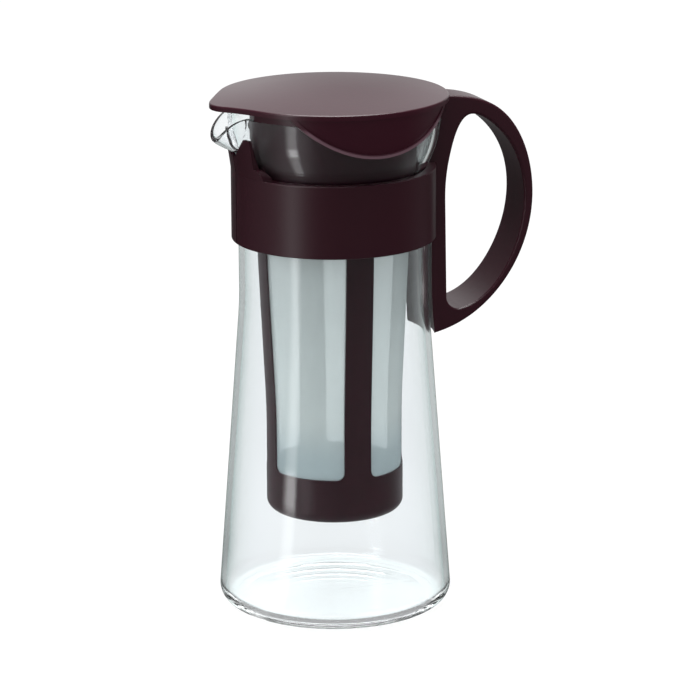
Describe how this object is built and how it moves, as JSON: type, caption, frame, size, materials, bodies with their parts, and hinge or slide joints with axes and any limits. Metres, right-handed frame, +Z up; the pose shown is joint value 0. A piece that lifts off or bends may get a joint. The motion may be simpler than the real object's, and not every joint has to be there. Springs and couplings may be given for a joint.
{
  "type": "cold brew coffee maker",
  "caption": "Tall conical glass jug with a plastic collar and strap handle, a lift-off lid with side flaps, and a hanging cup strainer with mesh windows for cold brewing.",
  "frame": {"origin": "centre of the jug's foot, on the surface that it stands on", "axes": "+Z up along the jug's axis, +X towards the handle, -X towards the spout"},
  "size_m": [0.13, 0.0919, 0.208],
  "materials": {
    "clear_glass": "clear, polished",
    "brown_plastic": "dark chocolate brown, satin",
    "filter_mesh": "fine woven polyester mesh, pale grey"
  },
  "bodies": {
    "jug": {"glass_jug": "clear_glass", "handle_band": "brown_plastic"},
    "strainer": {"strainer_frame": "brown_plastic", "strainer_mesh": "filter_mesh"},
    "lid": {"lid": "brown_plastic"}
  },
  "joints": [
    {"name": "strainer_lift", "type": "slide", "parent": "jug", "child": "strainer", "axis": [0, 0, 1], "range_m": [0, 0.17]},
    {"name": "lid_lift", "type": "slide", "parent": "strainer", "child": "lid", "axis": [0, 0, 1], "range_m": [0, 0.05]}
  ]
}
